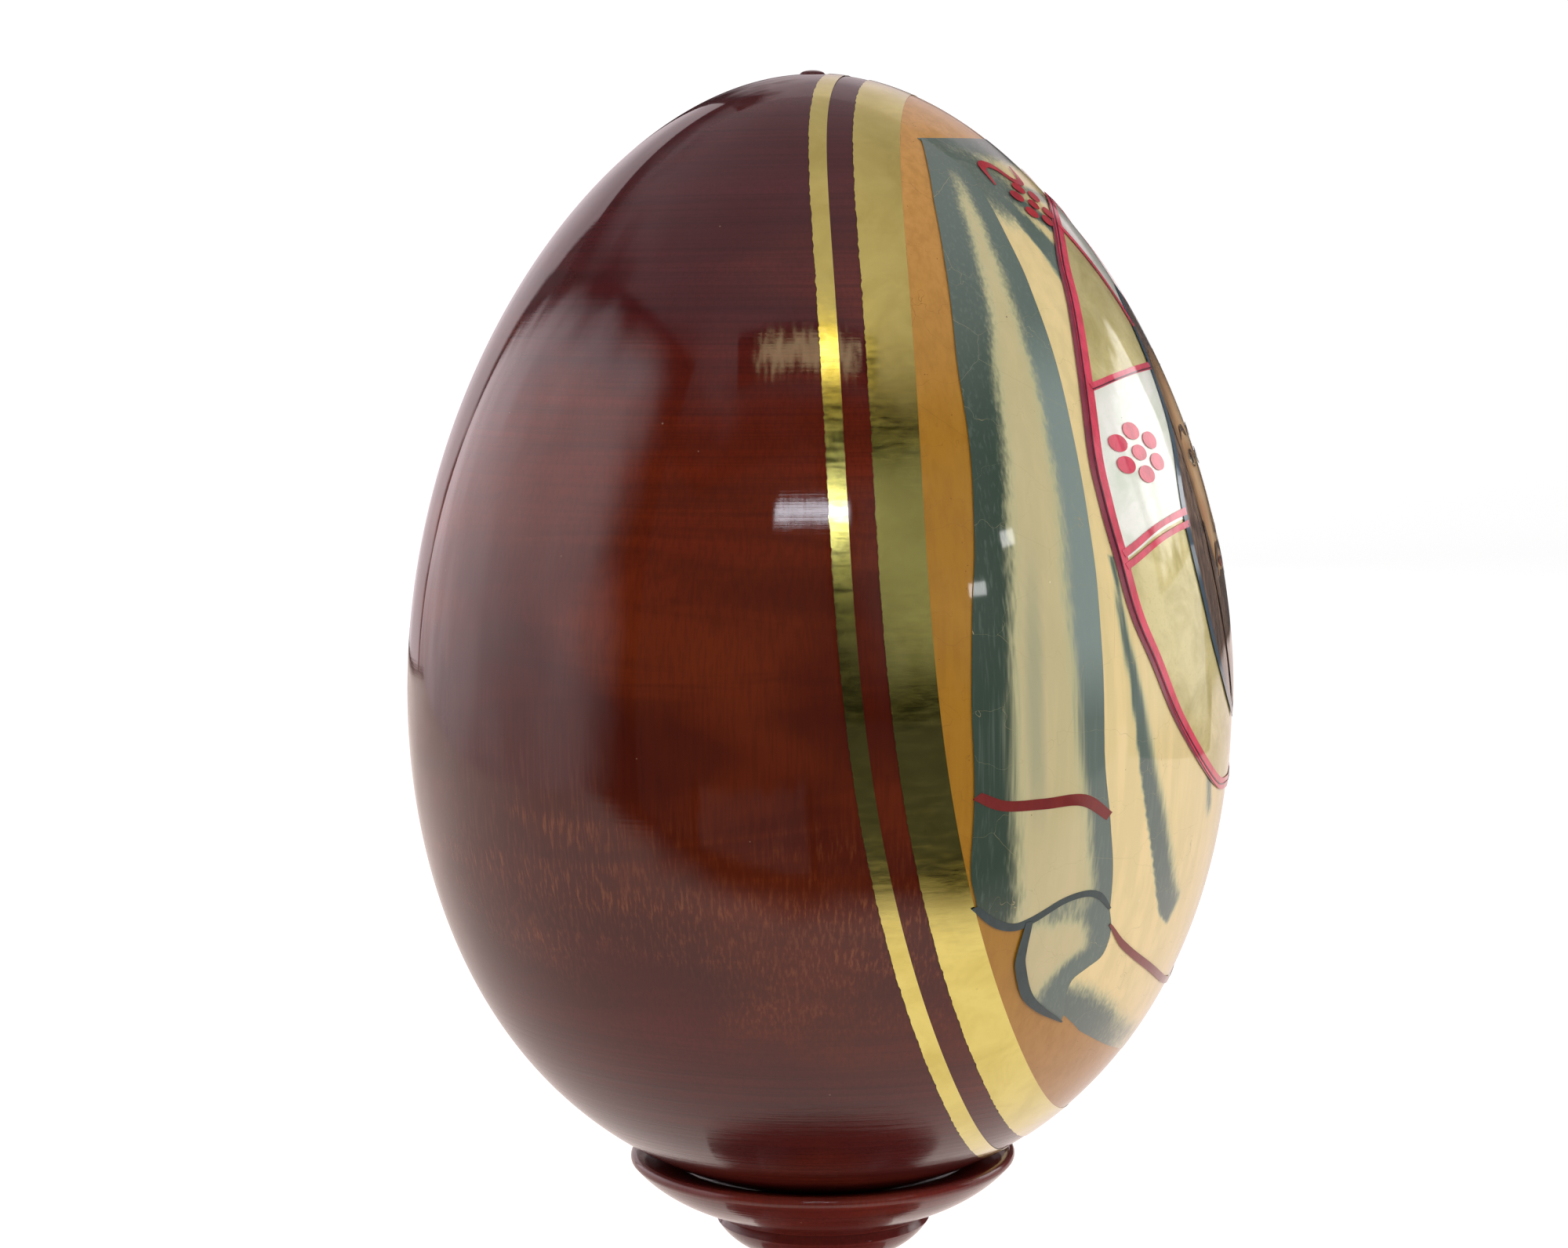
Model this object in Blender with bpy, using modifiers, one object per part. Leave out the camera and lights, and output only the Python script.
"""A large turned wooden Easter egg with two gold foil bands and a leafed halo, on a turned wooden stand.

Frame: origin at the centre of the foot's underside, +Z up, the painted panel of the egg faces -Y.
Lengths are in metres.
"""

import math

import bmesh
import bpy
from mathutils import Matrix, Vector

# Egg: a cosine-series oval. Its height, its girth and how far it is fuller towards the bottom.
EGG_HEIGHT = 0.145
EGG_GIRTH = 0.0530  # radius of the plain oval, before the taper terms widen it slightly
EGG_TAPER = (-0.107, 0.002, -0.034)  # factors of cos t, cos^2 t and cos^3 t, t measured from the top
NUB_RADIUS = 0.0016  # the small nub that the lathe leaves on the crown
NUB_HEIGHT = 0.0005
EGG_RINGS = 28
EGG_STEPS = 48

# Foil bands: slabs of a plane that leans back, laid round the egg.
BAND_LEAN = math.radians(8.1)
THIN_BAND_START = 0.0133  # distance of the band's near edge from the egg's centre, along the slab
THIN_BAND_WIDTH = 0.0021
WIDE_BAND_START = 0.0184
WIDE_BAND_WIDTH = 0.0052
LEAF_GAP = 0.00015
LEAF_THICKNESS = 0.0002

# Halo leaf: an oval ring on the panel, seen from the front, with three arms of silver leaf over it.
HALO_HEIGHT = 0.0195  # centre of the halo above the egg's middle
HALO_HALF_WIDTH = 0.0287
HALO_HALF_HEIGHT = 0.0365
HALO_HEAD_HALF_WIDTH = 0.0128  # the space left for the painted head
HALO_HEAD_HALF_HEIGHT = 0.0250
SIDE_ARM_WIDTHS = (0.0165, 0.0200)  # at the egg's axis and at the halo's edge
SIDE_ARM_RISE = 0.0045  # middle of the side arms above the halo's centre
TOP_ARM_WIDTHS = (0.0080, 0.0150)
ARM_END_MARGIN = 0.0008  # leaf left bare round the ends of each arm

# Peg and its holes.
PEG_RADIUS = 0.0040
PEG_IN_EGG = 0.0140
PEG_IN_STEM = 0.0120
PEG_CHAMFER = 0.0008
TURNING_CLEARANCE = 0.0003  # round the peg
END_CLEARANCE = 0.0008  # past the peg's ends
GLUE_GAP = 0.0003  # between pieces that are glued or rest on each other

# Stand.
STAND_HEIGHT = 0.0600  # floor to the rim of the cup
RIM_ABOVE_EGG_END = 0.0048  # how far the egg's bottom end sits below the rim
RIM_RADIUS = 0.0254
RIM_ROUNDING = 0.0008
CUP_DEPTH = 0.0081  # rim to the underside of the cup
CUP_BASE_RADIUS = 0.0150
SEAT_RADIUS = 0.0150  # out to here the seat follows the egg
SEAT_POINTS = 4
SPIGOT_RADIUS = 0.0080
STEM_HEAD_RADIUS = 0.0142
NECK_RADIUS = 0.0090
NECK_DROP = 0.0054  # underside of the cup to the neck
BELLY_RADIUS = 0.0128
WAIST_RADIUS = 0.0078
COLLAR_RADIUS = 0.0135
COLLAR_HEIGHT = 0.0050
TENON_RADIUS = 0.0070
TENON_LENGTH = 0.0085
FOOT_RADIUS = 0.0350
FOOT_HEIGHT = 0.0130
FOOT_RIM_HEIGHT = 0.0045
FOOT_TOP_RADIUS = 0.0150
STAND_STEPS = 36

EGG_BOTTOM_Z = STAND_HEIGHT - RIM_ABOVE_EGG_END
EGG_CENTRE_Z = EGG_BOTTOM_Z + EGG_HEIGHT / 2
CUP_UNDER_Z = STAND_HEIGHT - CUP_DEPTH
PEG_HOLE_RADIUS = PEG_RADIUS + TURNING_CLEARANCE
TOOL_MARGIN = 0.002  # how far a cutter reaches past what it cuts


def remove_scene_objects():
    for item in list(bpy.data.objects):
        bpy.data.objects.remove(item, do_unlink=True)


def new_collection(name):
    collection = bpy.data.collections.new(name)
    bpy.context.scene.collection.children.link(collection)
    return collection


def make_material(name, colour, roughness, metallic):
    material = bpy.data.materials.new(name)
    material.use_nodes = True
    shader = material.node_tree.nodes["Principled BSDF"]
    shader.inputs["Base Color"].default_value = (*colour, 1.0)
    shader.inputs["Roughness"].default_value = roughness
    shader.inputs["Metallic"].default_value = metallic
    return material


def egg_radius_at(t):
    """Radius of the egg at the angle t, 0 at the crown and pi at the bottom."""
    c = math.cos(t)
    series = 1 + sum(factor * c ** (power + 1) for power, factor in enumerate(EGG_TAPER))
    return EGG_GIRTH * math.sin(t) * series


def egg_profile(offset=0.0):
    """Points (radius, z) of the egg's outside, top to bottom, pushed out by offset along the normal."""
    points = []
    for i in range(EGG_RINGS + 1):
        t = math.pi * i / EGG_RINGS
        step = 1e-4
        r, z = egg_radius_at(t), EGG_HEIGHT / 2 * math.cos(t)
        tangent = Vector((
            egg_radius_at(t + step) - egg_radius_at(t - step),
            EGG_HEIGHT / 2 * (math.cos(t + step) - math.cos(t - step)),
        )).normalized()
        r, z = r - tangent.y * offset, z + tangent.x * offset
        points.append((0.0 if i in (0, EGG_RINGS) else r, EGG_CENTRE_Z + z))
    crown = points[0][1]
    nub = [(0.0, NUB_HEIGHT), (0.6 * NUB_RADIUS, 0.8 * NUB_HEIGHT), (NUB_RADIUS + offset, 0.0)]
    return [(r, crown + rise) for r, rise in nub] + points[1:]


def turned(name, collection, profile, steps, material=None):
    """A body of revolution about Z from a profile that runs down its outer side."""
    mesh = bpy.data.meshes.new(name)
    edges = [(i, i + 1) for i in range(len(profile) - 1)]
    mesh.from_pydata([(r, 0.0, z) for r, z in profile], edges, [])
    body = bpy.data.objects.new(name, mesh)
    collection.objects.link(body)
    screw = body.modifiers.new("turn", "SCREW")
    screw.steps = screw.render_steps = steps
    screw.use_merge_vertices = True
    screw.merge_threshold = 0.00001
    screw.use_smooth_shade = True
    if material:
        mesh.materials.append(material)
    return body


def arc(centre, radius, start, end, count):
    """Points on an arc in the (radius, z) plane, angles in degrees from the outward direction."""
    angles = [math.radians(start + (end - start) * i / count) for i in range(count + 1)]
    return [(centre[0] + radius * math.cos(a), centre[1] + radius * math.sin(a)) for a in angles]


def blend(start, end, count, ease=0.5):
    """An S-shaped run between two profile points; ease 0 is straight and 1 is a full ogee."""
    points = []
    for i in range(1, count + 1):
        s = i / count
        eased = (1 - ease) * s + ease * (1 - math.cos(math.pi * s)) / 2
        points.append((start[0] + (end[0] - start[0]) * eased, start[1] + (end[1] - start[1]) * s))
    return points


def as_cutter(body):
    body.hide_render = True
    body.display_type = "WIRE"
    return body


def cut(body, cutter, operation="DIFFERENCE"):
    boolean = body.modifiers.new(f"{operation.lower()} {cutter.name}", "BOOLEAN")
    boolean.operation = operation
    boolean.object = cutter
    boolean.solver = "EXACT"


def cylinder_cutter(name, collection, radius, low, high, steps):
    profile = [(0.0, high), (radius, high), (radius, low), (0.0, low)]
    return as_cutter(turned(name, collection, profile, steps))


def block_cutter(name, collection, size, matrix):
    mesh = bpy.data.meshes.new(name)
    bm = bmesh.new()
    bmesh.ops.create_cube(bm, size=1.0, matrix=matrix @ Matrix.Diagonal((*size, 1.0)))
    bm.to_mesh(mesh)
    bm.free()
    block = bpy.data.objects.new(name, mesh)
    collection.objects.link(block)
    return as_cutter(block)


def prism_cutter(name, collection, outline):
    """An outline in the front (x, z) plane, run from the egg's middle out past its front."""
    mesh = bpy.data.meshes.new(name)
    bm = bmesh.new()
    corners = [bm.verts.new((x, 0.0, EGG_CENTRE_Z + z)) for x, z in outline]
    bm.faces.new(corners)
    grown = bmesh.ops.extrude_face_region(bm, geom=bm.faces[:])
    moved = [item for item in grown["geom"] if isinstance(item, bmesh.types.BMVert)]
    bmesh.ops.translate(bm, verts=moved, vec=(0.0, -EGG_GIRTH * 1.2, 0.0))
    bmesh.ops.recalc_face_normals(bm, faces=bm.faces[:])
    bm.to_mesh(mesh)
    bm.free()
    prism = bpy.data.objects.new(name, mesh)
    collection.objects.link(prism)
    return as_cutter(prism)


def oval(half_width, half_height, count=48):
    turns = [2 * math.pi * i / count for i in range(count)]
    return [(half_width * math.cos(a), HALO_HEIGHT + half_height * math.sin(a)) for a in turns]


def leaf_shell(name, collection, cutters, layer, material):
    """A thin shell that follows the egg, layer 0 on the wood and 1 on another leaf."""
    inner = LEAF_GAP + layer * (LEAF_GAP + LEAF_THICKNESS)
    outside = egg_profile(inner + LEAF_THICKNESS)
    shell = turned(name, collection, outside, EGG_STEPS, material)
    core = turned(name + "_core", cutters, egg_profile(inner), EGG_STEPS)
    return shell, as_cutter(core)


def make_egg_body(parts, cutters, material):
    egg = turned("egg_body", parts, egg_profile(), EGG_STEPS, material)
    depth = PEG_IN_EGG + END_CLEARANCE
    low = EGG_BOTTOM_Z - TOOL_MARGIN
    cut(egg, cylinder_cutter("egg_peg_hole", cutters, PEG_HOLE_RADIUS, low, EGG_BOTTOM_Z + depth, 24))


def make_band(name, parts, cutters, start, width, material):
    """A closed loop of foil: the part of a thin shell that lies between two leaning planes."""
    band, core = leaf_shell(name, parts, cutters, 0, material)
    place = (
        Matrix.Translation((0.0, 0.0, EGG_CENTRE_Z))
        @ Matrix.Rotation(-BAND_LEAN, 4, "X")
        @ Matrix.Translation((0.0, -(start + width / 2), 0.0))
    )
    reach = 2 * EGG_HEIGHT
    cut(band, block_cutter(name + "_slab", cutters, (reach, width, reach), place), "INTERSECT")
    cut(band, core)


def make_halo(parts, cutters, material):
    halo, core = leaf_shell("halo_leaf", parts, cutters, 0, material)
    outline = oval(HALO_HALF_WIDTH, HALO_HALF_HEIGHT)
    head = oval(HALO_HEAD_HALF_WIDTH, HALO_HEAD_HALF_HEIGHT)
    cut(halo, prism_cutter("halo_outline", cutters, outline), "INTERSECT")
    cut(halo, prism_cutter("halo_head_space", cutters, head))
    cut(halo, core)


def flared_bar(start, end, height):
    """A bar of two (distance from the egg's axis, width) ends; height is its middle's, for a side arm."""
    corners = [(start[0], -start[1] / 2), (end[0], -end[1] / 2), (end[0], end[1] / 2), (start[0], start[1] / 2)]
    return [(x, height + z) for x, z in corners]


def make_arms(parts, cutters, material):
    """Three flared arms between the head's space and the halo's edge, laid over the halo's leaf."""
    middle = HALO_HEIGHT + SIDE_ARM_RISE
    right = flared_bar((0.0, SIDE_ARM_WIDTHS[0]), (HALO_HALF_WIDTH, SIDE_ARM_WIDTHS[1]), middle)
    upright = flared_bar((0.0, TOP_ARM_WIDTHS[0]), (HALO_HALF_HEIGHT, TOP_ARM_WIDTHS[1]), 0.0)
    outlines = {
        "silver_arm_right": right,
        "silver_arm_left": [(-x, z) for x, z in right],
        "silver_arm_top": [(z, HALO_HEIGHT + x) for x, z in upright],
    }
    inside = oval(HALO_HALF_WIDTH - ARM_END_MARGIN, HALO_HALF_HEIGHT - ARM_END_MARGIN)
    head = oval(HALO_HEAD_HALF_WIDTH + ARM_END_MARGIN, HALO_HEAD_HALF_HEIGHT + ARM_END_MARGIN)
    edge_cutter = prism_cutter("arm_ends", cutters, inside)
    head_cutter = prism_cutter("arm_head_space", cutters, head)
    for name, outline in outlines.items():
        arm, core = leaf_shell(name, parts, cutters, 1, material)
        cut(arm, prism_cutter(name + "_outline", cutters, outline), "INTERSECT")
        cut(arm, edge_cutter, "INTERSECT")
        cut(arm, head_cutter)
        cut(arm, core)


def make_peg(parts, material):
    low = EGG_BOTTOM_Z - PEG_IN_STEM
    high = EGG_BOTTOM_Z + PEG_IN_EGG
    profile = [
        (0.0, high),
        (PEG_RADIUS - PEG_CHAMFER, high),
        (PEG_RADIUS, high - PEG_CHAMFER),
        (PEG_RADIUS, low + PEG_CHAMFER),
        (PEG_RADIUS - PEG_CHAMFER, low),
        (0.0, low),
    ]
    turned("locating_peg", parts, profile, 24, material)


def seat_z(radius):
    """Height of the cup's seat: the egg's own underside, lowered by the glue gap."""
    low, high = math.pi / 2, math.pi
    for _ in range(40):
        middle = (low + high) / 2
        if egg_radius_at(middle) > radius:
            low = middle
        else:
            high = middle
    return EGG_CENTRE_Z + EGG_HEIGHT / 2 * math.cos(low) - GLUE_GAP


def make_cup(parts, material):
    """A shallow turned bowl with a bore for the stem's spigot. The egg bears on the inner half of the
    seat, and the seat falls away from it towards the rim."""
    bore = SPIGOT_RADIUS + GLUE_GAP
    rim_inner = RIM_RADIUS - 2 * RIM_ROUNDING
    seat_radii = [bore + (SEAT_RADIUS - bore) * i / SEAT_POINTS for i in range(SEAT_POINTS + 1)]
    seat = [(radius, seat_z(radius)) for radius in seat_radii]
    slope = (seat[-1][1] - seat[-2][1]) / (seat[-1][0] - seat[-2][0])
    seat_end = (rim_inner, min(seat[-1][1] + slope * (rim_inner - SEAT_RADIUS), STAND_HEIGHT - RIM_ROUNDING / 4))
    rounding = arc((RIM_RADIUS - RIM_ROUNDING, STAND_HEIGHT - RIM_ROUNDING), RIM_ROUNDING, 90, -20, 6)
    wall_end = (CUP_BASE_RADIUS, CUP_UNDER_Z + 0.0006)
    profile = [
        (bore, seat[0][1]),
        *seat,
        seat_end,
        *rounding,
        *bowl_wall(rounding[-1], wall_end, 8),
        (CUP_BASE_RADIUS - 0.0006, CUP_UNDER_Z),
        (bore, CUP_UNDER_Z),
        (bore, seat[0][1]),
    ]
    turned("stand_cup", parts, profile, STAND_STEPS, material)


def bowl_wall(start, end, count):
    """The bowl's outside: a quarter-oval-like run that drops steeply first and then turns inwards."""
    points = []
    for i in range(1, count + 1):
        a = math.pi / 2 * i / count
        bulge = 0.62 * i / count + 0.38 * (1 - math.cos(a))
        drop = 0.62 * i / count + 0.38 * math.sin(a)
        points.append((start[0] + (end[0] - start[0]) * bulge, start[1] + (end[1] - start[1]) * drop))
    return points


def make_stem(parts, cutters, material):
    """A short baluster with a spigot that fills the cup's bore and a tenon in the foot."""
    top = EGG_BOTTOM_Z - 2 * GLUE_GAP
    head = CUP_UNDER_Z - GLUE_GAP
    neck = head - NECK_DROP
    foot_top = FOOT_HEIGHT + GLUE_GAP
    collar = foot_top + COLLAR_HEIGHT
    belly = neck - 0.42 * (neck - collar)
    waist = collar + 0.0030
    tenon_end = FOOT_HEIGHT - TENON_LENGTH
    profile = [
        (0.0, top),
        (SPIGOT_RADIUS, top),
        (SPIGOT_RADIUS, head),
        (STEM_HEAD_RADIUS - 0.0008, head),
        *bowl_wall((STEM_HEAD_RADIUS, head - 0.0008), (NECK_RADIUS + 0.0012, neck + 0.0010), 6),
        (NECK_RADIUS, neck),
        *blend((NECK_RADIUS, neck), (BELLY_RADIUS, belly), 7, 1.0),
        *blend((BELLY_RADIUS, belly), (WAIST_RADIUS, waist), 7, 1.0),
        (WAIST_RADIUS, collar + 0.0012),
        *arc((COLLAR_RADIUS - COLLAR_HEIGHT / 2, foot_top + COLLAR_HEIGHT / 2), COLLAR_HEIGHT / 2, 90, -90, 8),
        (TENON_RADIUS, foot_top),
        (TENON_RADIUS, tenon_end),
        (0.0, tenon_end),
    ]
    stem = turned("stand_stem", parts, profile, STAND_STEPS, material)
    low = EGG_BOTTOM_Z - PEG_IN_STEM - END_CLEARANCE
    cut(stem, cylinder_cutter("stem_peg_hole", cutters, PEG_HOLE_RADIUS, low, top + TOOL_MARGIN, 24))


def make_foot(parts, material):
    """A wide turned foot with a bead at the floor, an ogee above it and a mortise for the stem."""
    bore = TENON_RADIUS + GLUE_GAP
    floor = FOOT_HEIGHT - TENON_LENGTH - END_CLEARANCE
    shoulder = FOOT_RIM_HEIGHT + 0.0010
    profile = [
        (0.0, floor),
        (bore, floor),
        (bore, FOOT_HEIGHT),
        (FOOT_TOP_RADIUS, FOOT_HEIGHT),
        (FOOT_TOP_RADIUS + 0.0006, FOOT_HEIGHT - 0.0008),
        *blend((FOOT_TOP_RADIUS + 0.0006, FOOT_HEIGHT - 0.0014), (FOOT_RADIUS - 0.0030, shoulder), 9, 0.85),
        (FOOT_RADIUS - 0.0022, FOOT_RIM_HEIGHT),
        *arc((FOOT_RADIUS - FOOT_RIM_HEIGHT / 2, FOOT_RIM_HEIGHT / 2), FOOT_RIM_HEIGHT / 2, 80, -80, 7),
        (FOOT_RADIUS - FOOT_RIM_HEIGHT / 2, 0.0),
        (0.0, 0.0),
    ]
    turned("stand_foot", parts, profile, STAND_STEPS, material)


def main():
    remove_scene_objects()
    parts = new_collection("easter_egg_on_stand")
    cutters = new_collection("cutters")
    wood = make_material("stained lacquered wood", (0.100, 0.016, 0.008), 0.22, 0.0)
    plain_wood = make_material("plain birch dowel", (0.600, 0.420, 0.240), 0.60, 0.0)
    gold = make_material("gold foil", (0.560, 0.470, 0.150), 0.30, 1.0)
    silver = make_material("silver leaf", (0.850, 0.860, 0.840), 0.35, 1.0)
    make_egg_body(parts, cutters, wood)
    make_band("foil_band_thin", parts, cutters, THIN_BAND_START, THIN_BAND_WIDTH, gold)
    make_band("foil_band_wide", parts, cutters, WIDE_BAND_START, WIDE_BAND_WIDTH, gold)
    make_halo(parts, cutters, gold)
    make_arms(parts, cutters, silver)
    make_peg(parts, plain_wood)
    make_cup(parts, wood)
    make_stem(parts, cutters, wood)
    make_foot(parts, wood)


main()
